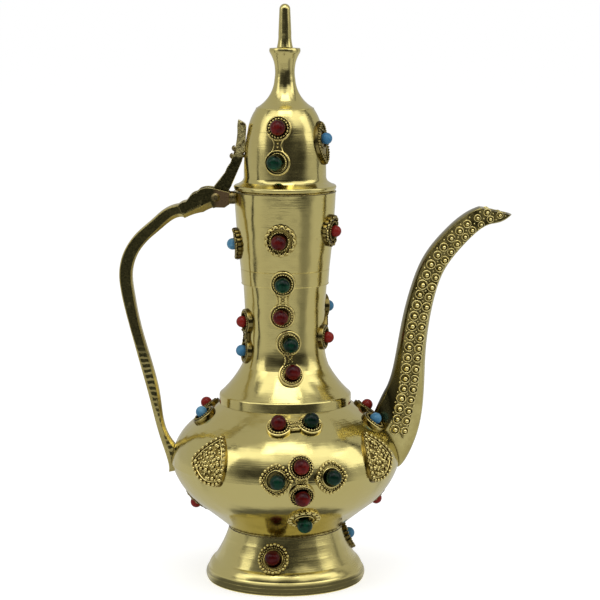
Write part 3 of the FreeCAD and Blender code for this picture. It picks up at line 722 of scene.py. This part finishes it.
def inset(line, amount):
    """Closed line moved inwards."""
    line = resampled(line, edge_points, True)
    run = unit(np.roll(line, -2, axis=0) - np.roll(line, 2, axis=0))
    return line + np.stack([-run[:, 1], run[:, 0]], axis=1) * amount


def inside(line, a, b):
    """True where a point lies within a closed line."""
    following = np.roll(line, -1, axis=0)
    crossing = (line[:, 1] > b) != (following[:, 1] > b)
    share = (b - line[:, 1]) / np.where(crossing, following[:, 1] - line[:, 1], 1)
    return np.count_nonzero(crossing & (a < line[:, 0] + share * (following[:, 0] - line[:, 0]))) % 2 == 1


# Goldsmith's work on a seat
def laid(seat, surface, line, lift):
    """Points of a flat line dropped on a surface."""
    spots = [seat.on(surface, a, b) for a, b in line]
    return np.array([spot + seat.normal * lift for spot in spots if spot is not None])


def grain_row(piece, seat, surface, line, radius, pitch, closed=True):
    """Granules side by side along a flat line."""
    count = max(3, round(length_of(line, closed) / pitch))
    for spot in laid(seat, surface, resampled(line, count, closed), grain_lift_share * radius):
        grain(piece, spot, radius * chance.uniform(*grain_spread))


def grain_on(piece, seat, surface, place, radius, lift=0.0, flatten=1.0):
    """One granule on a flat place, where the surface reaches that far."""
    spot = seat.on(surface, *place)
    if spot is not None:
        grain(piece, spot + seat.normal * lift, radius, seat.normal, flatten)


def wire(piece, seat, surface, line, radius, closed=True, lift=0.4):
    """Plain wire along a flat line that lies wholly on the surface."""
    path = laid(seat, surface, line, lift * radius)
    if len(path) == len(line):
        tube(piece, path, radius, seat.normal, closed)


def twisted(piece, seat, surface, line, radius, closed=True):
    """Twisted wire along a flat line that lies wholly on the surface."""
    path = laid(seat, surface, line, 0.5 * radius)
    if len(path) == len(line):
        rope(piece, path, radius, seat.normal, closed)


def floret(piece, spot, normal, radius, lean=Vector()):
    """Stamped round: an outer ring, a groove and a boss, which may lean to one side.
    The profile's points are shares of the radius, outwards from the middle and up."""
    profile = [(0.0, 0.60), (0.14, 0.59), (0.28, 0.52), (0.40, 0.38), (0.48, 0.20), (0.52, 0.02),
               (0.66, 0.0), (0.71, 0.22), (0.78, 0.36), (0.86, 0.40), (0.94, 0.30), (0.99, 0.06),
               (1.0, -0.2)]
    boss_edge = 0.53
    sides = 18
    axis = Vector(normal).normalized()
    first = axis.orthogonal().normalized()
    second = axis.cross(first)
    points = [np.array(spot + (axis * profile[0][1] + lean) * radius)]
    for reach, height in profile[1:]:
        for k in range(sides):
            turn = 2 * math.pi * k / sides
            out = first * math.cos(turn) + second * math.sin(turn)
            off = lean if reach < boss_edge else Vector()
            points.append(np.array(spot + (out * reach + axis * height + off) * radius))
    faces = [(0, 1 + k, 1 + (k + 1) % sides) for k in range(sides)]
    for i in range(len(profile) - 2):
        a, b = 1 + i * sides, 1 + (i + 1) * sides
        for k in range(sides):
            following = (k + 1) % sides
            faces.append((a + k, b + k, b + following, a + following))
    last = 1 + (len(profile) - 2) * sides
    faces.append(tuple(last + k for k in range(sides - 1, -1, -1)))
    piece.add(np.array(points), faces)


class Waist:
    """Narrow part between two cups, with curved lines from rim to rim along both sides."""

    def __init__(self, one, two, spread, width):
        self.seat = Seat((one.at(0, 0, ring_radius) + two.at(0, 0, ring_radius)) / 2)
        start, stop = self.seat.local([one.point, two.point])[:, :2]
        self.middle = (start + stop) / 2
        self.along = (stop - start) / np.linalg.norm(stop - start)
        self.aside = np.array([-self.along[1], self.along[0]])
        self.lines = []
        turn = math.radians(spread)
        share = np.linspace(0, 1, 13)[:, None]
        for aside in (-self.aside, self.aside):
            first = start + (self.along * math.cos(turn) + aside * math.sin(turn)) * rim_radius
            last = stop + (-self.along * math.cos(turn) + aside * math.sin(turn)) * rim_radius
            bend = 2 * (self.middle + aside * width) - (first + last) / 2
            self.lines.append(first * (1 - share) ** 2 + bend * 2 * share * (1 - share) + last * share ** 2)

    def outline(self):
        """Both lines as one closed line."""
        return np.vstack([self.lines[0], self.lines[1][::-1]])


def granule_field(piece, seat, surface, line, radius, pitch, clear=0.0, stray=0.12):
    """Granules in staggered rows inside a closed line, round a clear middle; stray makes them uneven."""
    row_share = 0.87
    heart = line.mean(axis=0)
    low, high = line.min(axis=0), line.max(axis=0)
    row = 0
    b = low[1] + radius
    while b < high[1]:
        a = low[0] + radius + (row % 2) * pitch / 2
        while a < high[0]:
            place = (a + chance.uniform(-stray, stray) * pitch, b + chance.uniform(-stray, stray) * pitch)
            open_place = inside(line, *place) and math.dist(place, heart) > clear
            spot = seat.on(surface, *place) if open_place else None
            if spot is not None:
                size = radius * chance.uniform(1 - 2 * stray, 1 + stray)
                grain(piece, spot + seat.normal * size * grain_lift_share, size)
            a += pitch
        b += pitch * row_share
        row += 1


def neck_pair(piece, one, two, surface):
    """Milled rings, twisted wires along the waist and a small floret among granules between."""
    for cup in (one, two):
        grain_row(piece, cup, surface, circle(ring_radius), small_grain, 2.2 * small_grain)
    waist = Waist(one, two, spread=38, width=2.3 * mm)
    for line in waist.lines:
        twisted(piece, waist.seat, surface, line, 0.8 * rope_radius, closed=False)
    spot = waist.seat.on(surface, *waist.middle)
    if spot is not None:
        floret(piece, spot, waist.seat.normal, 1.05 * mm)
    for side in (-0.9 * mm, 0.9 * mm):
        for shift in (-1.3 * mm, 1.3 * mm):
            place = waist.middle + waist.along * shift + waist.aside * side
            grain_on(piece, waist.seat, surface, place, fine_grain, grain_lift_share * fine_grain)


def shoulder_pair(piece, one, two, surface):
    """Beaded rings, and wires and granules over the waist."""
    for cup in (one, two):
        grain_row(piece, cup, surface, circle(ring_radius), border_grain, 2.1 * border_grain)
    waist = Waist(one, two, spread=34, width=2.6 * mm)
    for line in waist.lines:
        wire(piece, waist.seat, surface, line, wire_radius, closed=False)
    granule_field(piece, waist.seat, surface, waist.outline(), small_grain, 2.1 * small_grain)


def lid_pair(piece, one, two, surface):
    """Beaded rings round the upper bead, a plain ring with a curve of granules round the lower one, and
    wires and two granules between."""
    upper, lower = (one, two) if one.point.z > two.point.z else (two, one)
    grain_row(piece, upper, surface, circle(ring_radius), border_grain, 2.3 * border_grain)
    grain_row(piece, upper, surface, circle(rim_radius), fine_grain, 2.4 * fine_grain)
    wire(piece, lower, surface, circle(rim_radius), wire_radius)
    curve_start = 62
    curve_step = 14
    largest = 3
    for i in range(9):
        turn = math.radians(curve_start - curve_step * i)
        place = np.array([math.cos(turn), math.sin(turn)]) * (ring_radius - 0.25 * mm)
        grain_on(piece, lower, surface, place, border_grain * (1.15 - 0.06 * abs(i - largest)))
    waist = Waist(lower, upper, spread=62, width=1.7 * mm)
    for line in waist.lines:
        wire(piece, waist.seat, surface, line, 1.2 * wire_radius, closed=False)
    for shift in (-0.9 * mm, 0.9 * mm):
        grain_on(piece, waist.seat, surface, waist.middle + waist.along * shift, small_grain)


def belly_pair(piece, one, two, surface):
    """Fine milled rings inside twisted rims, and granules over the waist."""
    for cup in (one, two):
        grain_row(piece, cup, surface, circle(ring_radius), small_grain, 2.2 * small_grain)
        twisted(piece, cup, surface, circle(rim_radius), rope_radius)
    waist = Waist(one, two, spread=40, width=2.5 * mm)
    granule_field(piece, waist.seat, surface, waist.outline(), small_grain, 2.2 * small_grain)


def rope_rosette(piece, cup, surface):
    """Wavy rim wire with granules in its bends and a milled ring inside."""
    line = inset(edge_line(cup, surface), 1.05 * mm)
    bends = 14
    swing = 0.1
    turn = np.arctan2(line[:, 1], line[:, 0])
    wavy = line * (1 + swing * np.cos(bends * turn))[:, None]
    wire(piece, cup, surface, wavy, 1.8 * wire_radius, lift=0.7)
    grain_row(piece, cup, surface, inset(line, 0.75 * mm), small_grain, length_of(line, True) / bends)
    grain_row(piece, cup, surface, inset(line, -0.7 * mm), fine_grain, length_of(line, True) / bends)
    grain_row(piece, cup, surface, circle(ring_radius), small_grain, 2.2 * small_grain)


def petal_rosette(piece, cup, surface):
    """Large round petals along the scallops, a plain wire inside them and fine granules outside."""
    line = edge_line(cup, surface)
    petals = 14
    for spot in laid(cup, surface, resampled(inset(line, 0.95 * mm), petals, True), 0.0):
        grain(piece, spot, 1.28 * mm, cup.normal, 0.6)
    wire(piece, cup, surface, circle(5.25 * mm), wire_radius)
    grain_row(piece, cup, surface, inset(line, 0.1 * mm), fine_grain, 2.6 * fine_grain)


def granule_rosette(piece, cup, surface):
    """Two rows of granules along the edge."""
    line = edge_line(cup, surface)
    grain_row(piece, cup, surface, inset(line, 0.65 * mm), 0.78 * mm, 1.75 * mm)
    grain_row(piece, cup, surface, inset(line, 1.85 * mm), small_grain, 2.2 * small_grain)


def diamond(piece, cup, surface):
    """Two rows of granules, a wire round the cup and more granules at the points."""
    line = edge_line(cup, surface)
    grain_row(piece, cup, surface, inset(line, 0.7 * mm), 0.82 * mm, 1.95 * mm)
    grain_row(piece, cup, surface, inset(line, 2.0 * mm), small_grain, 2.5 * small_grain)
    wire(piece, cup, surface, circle(ring_radius + 0.55 * mm), 0.8 * wire_radius)
    for a, b in ((1, 0), (0, 1), (-1, 0), (0, -1)):
        tip = line[np.argmax(line @ np.array([a, b]))]
        for pull in (0.80, 0.92):
            grain_on(piece, cup, surface, tip * pull, border_grain * 1.1, 0.35 * mm)


def almond_plaque(piece, cup, surface):
    """Granule edge, plain inner wire and granulated fields above and below the cup."""
    line = edge_line(cup, surface, reach=18 * mm)
    grain_row(piece, cup, surface, inset(line, 0.65 * mm), border_grain * 1.1, 2.2 * border_grain)
    wire(piece, cup, surface, inset(line, 1.6 * mm), wire_radius)
    field = inset(line, 2.4 * mm)
    for a, b in ((0, 1), (0, -1)):
        end = field[np.argmax(field @ np.array([a, b]))]
        granule_field(piece, cup, surface, end * 0.85 + circle(1.5 * mm), small_grain, 2.2 * small_grain)


def scroll(start, turn, size, coil):
    """Flat spiral round a place, from its outer end inwards; coil is 1 or -1 for the way it turns."""
    share = np.linspace(0, 1, 20)
    angle = turn + coil * share * 1.6 * math.pi
    reach = size * (1 - 0.8 * share)
    return start + np.stack([np.cos(angle), np.sin(angle)], axis=1) * reach[:, None]


def leaf_plaque(piece, seat, surface):
    """Border of large granules, an inner wire and a flower among scrolls and granules."""
    line = edge_line(seat, surface, reach=18 * mm)
    border_pitch = 2.45 * mm
    grain_row(piece, seat, surface, inset(line, 0.95 * mm), leaf_grain, border_pitch)
    grain_row(piece, seat, surface, inset(line, 0.3 * mm), fine_grain, border_pitch)
    wire(piece, seat, surface, inset(line, 2.25 * mm), 1.25 * wire_radius)
    field = inset(line, 3.0 * mm)
    heart = field.mean(axis=0)
    floret(piece, seat.on(surface, *heart), seat.normal, 1.3 * mm)
    petals = 6
    for i in range(petals):
        turn = 2 * math.pi * i / petals + math.radians(15)
        way = np.array([math.cos(turn), math.sin(turn)])
        grain_on(piece, seat, surface, heart + way * 2.35 * mm, 1.0 * mm, flatten=0.7)
        curl = scroll(heart + way * 4.6 * mm, turn + 2.4, 1.25 * mm, 1 if i % 2 else -1)
        if all(inside(field, *place) for place in curl):
            wire(piece, seat, surface, curl, wire_radius, closed=False, lift=0.6)
    granule_field(piece, seat, surface, inset(line, 2.6 * mm), 0.9 * mm, 2.0 * mm, clear=3.0 * mm, stray=0.3)


# Ornament of every setting and leaf
pair_work = {
    "lid_pair_settings": lid_pair,
    "neck_front_settings": neck_pair,
    "neck_side_settings": neck_pair,
    "shoulder_settings": shoulder_pair,
    "belly_pair_settings": belly_pair,
}
single_work = {
    "lid_side_plaque": almond_plaque,
    "neck_rosettes": rope_rosette,
    "belly_diamonds": diamond,
    "under_rosettes": petal_rosette,
    "foot_rosettes": granule_rosette,
}
for name, cups in settings.items():
    piece = Piece()
    if name in pair_work:
        for one, two in pairs_of(cups):
            pair_work[name](piece, one, two, setting_surface[name])
    else:
        for cup in cups:
            single_work[name](piece, cup, setting_surface[name])
    body = "lid" if name.startswith("lid") else "pot"
    piece.make(name + "_granulation", body, materials["filigree"])

leaves = Piece()
leaf_surface = surface_of(["leaf_plaques"])
for points in islands("leaf_plaques"):
    middle = Vector(points.mean(axis=0))
    outwards = Vector((middle.x, middle.y, 0)).normalized()
    leaf_plaque(leaves, Seat(middle + outwards * ring_radius), leaf_surface)
leaves.make("leaf_plaques_granulation", "pot", materials["filigree"])

# Florets in two columns along both sides of the spout, on the band's middle line in X and Z
band_line = np.array([
    (55.0, 74.6), (56.5, 82.4), (59.45, 96.5), (61.1, 111.8), (63.35, 127.9), (67.05, 143.0),
    (71.9, 155.3), (79.95, 166.0), (88.25, 173.65), (97.0, 178.9), (102.0, 180.9),
]) * mm
left_floret = 2.55 * mm
right_floret = 2.4 * mm
left_shift = -1.8 * mm
right_shift = 2.85 * mm
filler_shifts = (-4.0 * mm, 0.6 * mm, 4.8 * mm)
floret_rows = 25
first_narrow_row = 14
narrowing = 0.25
floret_lean = Vector((0.10, 0, -0.10))
floret_stray = 0.3 * mm
floret_tilt = 0.16
floret_spread = (0.92, 1.05)
floret_facing = 0.6
filler_facing = 0.5
row_pitch = length_of(band_line, False) / (floret_rows - 1)
spout_surface = surface_of(["spout", "spout_bands"])


def on_spout(x, z, side):
    """Point and normal of the spout's side wall."""
    start = Vector((x, side * beside_spout, z))
    return spout_surface.ray_cast(start, Vector((0, -side, 0)), beside_spout)[:2]


florets = Piece()
for side in (-1, 1):
    middle = resampled(band_line, floret_rows, False)
    run = directions(middle, False)
    aside = np.stack([run[:, 1], -run[:, 0]], axis=1)
    for row in range(floret_rows):
        narrow = 1 - narrowing * max(0, row - first_narrow_row) / (floret_rows - 1 - first_narrow_row)
        for shift, radius in ((left_shift, left_floret), (right_shift, right_floret)):
            stray = chance.uniform(-floret_stray, floret_stray)
            place = middle[row] + aside[row] * shift * narrow + run[row] * stray
            spot, normal = on_spout(*place, side)
            if spot is not None and abs(normal.y) > floret_facing:
                tilt = Vector([chance.uniform(-floret_tilt, floret_tilt) for _ in range(3)])
                size = radius * narrow * chance.uniform(*floret_spread)
                floret(florets, spot, normal + tilt, size, floret_lean)
        for shift in filler_shifts:
            place = middle[row] + aside[row] * shift * narrow + run[row] * row_pitch / 2
            spot, normal = on_spout(*place, side)
            if spot is not None and abs(normal.y) > filler_facing:
                grain(florets, spot, small_grain * chance.uniform(0.8, 1.15) * narrow)
florets.make("spout_florets", "pot", materials["floret"])


# Lines round the turned walls
def wall_ring(level, count):
    """Points round a turned wall at one height."""
    path = []
    for i in range(count):
        turn = 2 * math.pi * i / count
        way = Vector((math.cos(turn), math.sin(turn), 0))
        path.append(walls.ray_cast(way * round_pot + up_axis * level, -way, round_pot)[0])
    return path


def solder_line(name, level, radius):
    """Uneven line of dark solder."""
    piece = Piece()
    ring = wall_ring(level, count=220)
    path = [spot + up_axis * chance.uniform(-solder_stray, solder_stray) for spot in ring]
    size = [radius * chance.uniform(0.6, 1.2) for _ in path]
    tube(piece, path, size, up_axis, closed=True)
    piece.make(name, "pot", materials["dark"])


def turned_line(name, body, level, radius, look="polished_brass"):
    """Thin raised line."""
    piece = Piece()
    tube(piece, wall_ring(level, count=180), radius, up_axis, closed=True, sides=6)
    piece.make(name, body, materials[look])


solder_line("foot_solder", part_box("lower_bowl")[0].z, radius=0.35 * mm)
band_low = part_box("neck_upper")[0].z
turned_line("band_line_low", "pot", band_low + 0.3 * mm, radius=0.22 * mm)
turned_line("band_line_high", "pot", band_low + band_rise, radius=0.2 * mm)
turned_line("crease_line", "lid", lid_crease, radius=0.25 * mm)
# Painted shade: a thin dark ring under the lid's flange stands for the shade in the gap
turned_line("rim_gap_shade", "pot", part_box("neck_upper")[1].z - 0.32 * mm, radius=0.28 * mm, look="dark")


# Stage
floor_half = 30.0
floor_lift = 0.6
world_fill = 0.5
tent_radius = 2.2
tent_ground_lift = 0.4 * mm


def stage_mesh(name, points, faces, material):
    """Piece of the studio."""
    made = mesh_object(name, points, faces, material)
    return made


def floor_material():
    """Pale matt floor that shows white and keeps the pot's shadow."""
    m = Nodes("pale_floor")
    m.set(Base_Color=(0.8, 0.8, 0.8, 1), Roughness=1.0, Specular_IOR_Level=0.0, Emission_Color=(1, 1, 1, 1))
    m.link(m.maths("MULTIPLY", m.shown_rays(), floor_lift), m.shader.inputs["Emission Strength"])
    return m.owner


def tent_material(name, base, patches, on_ground):
    """Grey of the light tent with soft dark and bright patches."""
    m = Nodes(name)
    m.set(Base_Color=(0, 0, 0, 1), Specular_IOR_Level=0.0, Emission_Color=(1, 1, 1, 1))
    x, y, z = m.split(m.place)
    azimuth = m.maths("MULTIPLY", m.maths("ARCTAN2", x, m.maths("MULTIPLY", y, -1.0)), 180 / math.pi)
    distance = m.maths("SQRT", m.maths("ADD", m.maths("MULTIPLY", x, x), m.maths("MULTIPLY", y, y)))
    height = m.maths("MULTIPLY", m.maths("ARCTAN2", z, distance), 180 / math.pi)
    level = base
    for (start, stop, soft), (low, high, fade), value in patches:
        place = m.maths("MULTIPLY", m.band(azimuth, start, stop, soft),
                        m.band(distance if on_ground else height, low, high, fade))
        level = m.maths("ADD", level, m.maths("MULTIPLY", place, m.maths("SUBTRACT", value, level)))
    m.link(level, m.shader.inputs["Emission Strength"])
    return m.owner


def tent(wall, ground):
    """Half ball over the pot and a disc under it, which show in reflections only."""
    points, faces = ball_template(rings=24, segments=48)
    lowest = -0.01
    upper = [face for face in faces if all(points[i][2] > lowest for i in face)]
    disc = [(a, b, tent_ground_lift) for a, b in circle(tent_radius, count=64)]
    for made in (
        stage_mesh("tent", (points * tent_radius).tolist(), upper, wall),
        stage_mesh("tent_ground", disc, [tuple(range(len(disc)))], ground),
    ):
        made.visible_camera = False
        made.visible_diffuse = False
        made.visible_shadow = False


def softbox(name, place, target, width, height, level):
    """Rectangular lamp that shows at the given brightness in a mirror."""
    light = bpy.data.lights.new(name, "AREA")
    light.shape = "RECTANGLE"
    light.size = width
    light.size_y = height
    light.energy = level * math.pi * width * height
    made = in_scene(name, light)
    made.location = place
    made.rotation_euler = (Vector(target) - Vector(place)).to_track_quat("-Z", "Y").to_euler()


floor_corners = [(-floor_half, -floor_half, 0), (floor_half, -floor_half, 0),
                 (floor_half, floor_half, 0), (-floor_half, floor_half, 0)]
stage_mesh("floor", floor_corners, [(0, 1, 2, 3)], floor_material())

world = Nodes("studio", "worlds", "Background")
world.set(Color=(1, 1, 1, 1))
fill = world.new("ShaderNodeMapRange", To_Min=world_fill)
world.link(world.shown_rays(), fill.inputs["Value"])
world.link(fill.outputs["Result"], world.shader.inputs["Strength"])
bpy.context.scene.world = world.owner

# Reflections round the pot. Each patch has its azimuth in degrees, 0 on the camera's side and positive to
# the right, then its height in degrees on the wall or its distance in metres on the ground, both as from, to
# and softness, and last its brightness.
wall_level = 0.48
ground_level = 0.56
wall_patches = [
    ((-76, 78, 12), (40, 64, 7), 1.42),
    ((-12, 16, 12), (34, 66, 8), 0.7),
    ((-58, 62, 22), (2, 28, 8), 0.05),
    ((24, 60, 8), (27, 44, 5), 1.2),
    ((-14, 22, 7), (14, 36, 5), 0.03),
    ((4, 60, 9), (-12, 12, 4), 0.04),
    ((-85, -79, 1.5), (-5, 60, 4), 0.03),
    ((103, 109, 1.5), (-5, 60, 4), 0.03),
]
ground_patches = [
    ((-58, 62, 9), (0.50, 0.68, 0.04), 0.42),
    ((38, 64, 8), (0.3, 4.0, 0.08), 0.26),
    ((-44, 58, 14), (1.15, 4.0, 0.12), 0.06),
    ((-72, 76, 12), (no_limit, 0.05, 0.004), 0.12),
    ((-85, -79, 1.5), (0.12, 4.0, 0.05), 0.04),
    ((103, 109, 1.5), (0.12, 4.0, 0.05), 0.04),
]
tent(tent_material("tent_wall", wall_level, wall_patches, False),
     tent_material("tent_ground", ground_level, ground_patches, True))
pot_middle = (0, 0, 0.12)
softbox("top_box", (0.0, -0.5, 1.5), pot_middle, width=0.9, height=0.7, level=2.0)
softbox("left_box", (-1.5, -0.5, 0.9), pot_middle, width=0.8, height=1.0, level=1.0)
softbox("right_box", (1.5, -0.3, 0.9), pot_middle, width=0.8, height=1.0, level=1.0)

# Camera at the photograph's place
photo_width = 600
focal_pixels = 2241.4
sensor_width = 36
camera_dip = 0.14583
lens = bpy.data.cameras.new("camera")
lens.sensor_width = sensor_width
lens.lens = sensor_width * focal_pixels / photo_width
lens.clip_end = 100
camera = in_scene("camera", lens)
camera.location = (7.2 * mm, -1073.2 * mm, 294.8 * mm)
camera.rotation_euler = (math.pi / 2 - camera_dip, 0, 0)
bpy.context.scene.camera = camera
bpy.context.scene.view_settings.view_transform = "Standard"
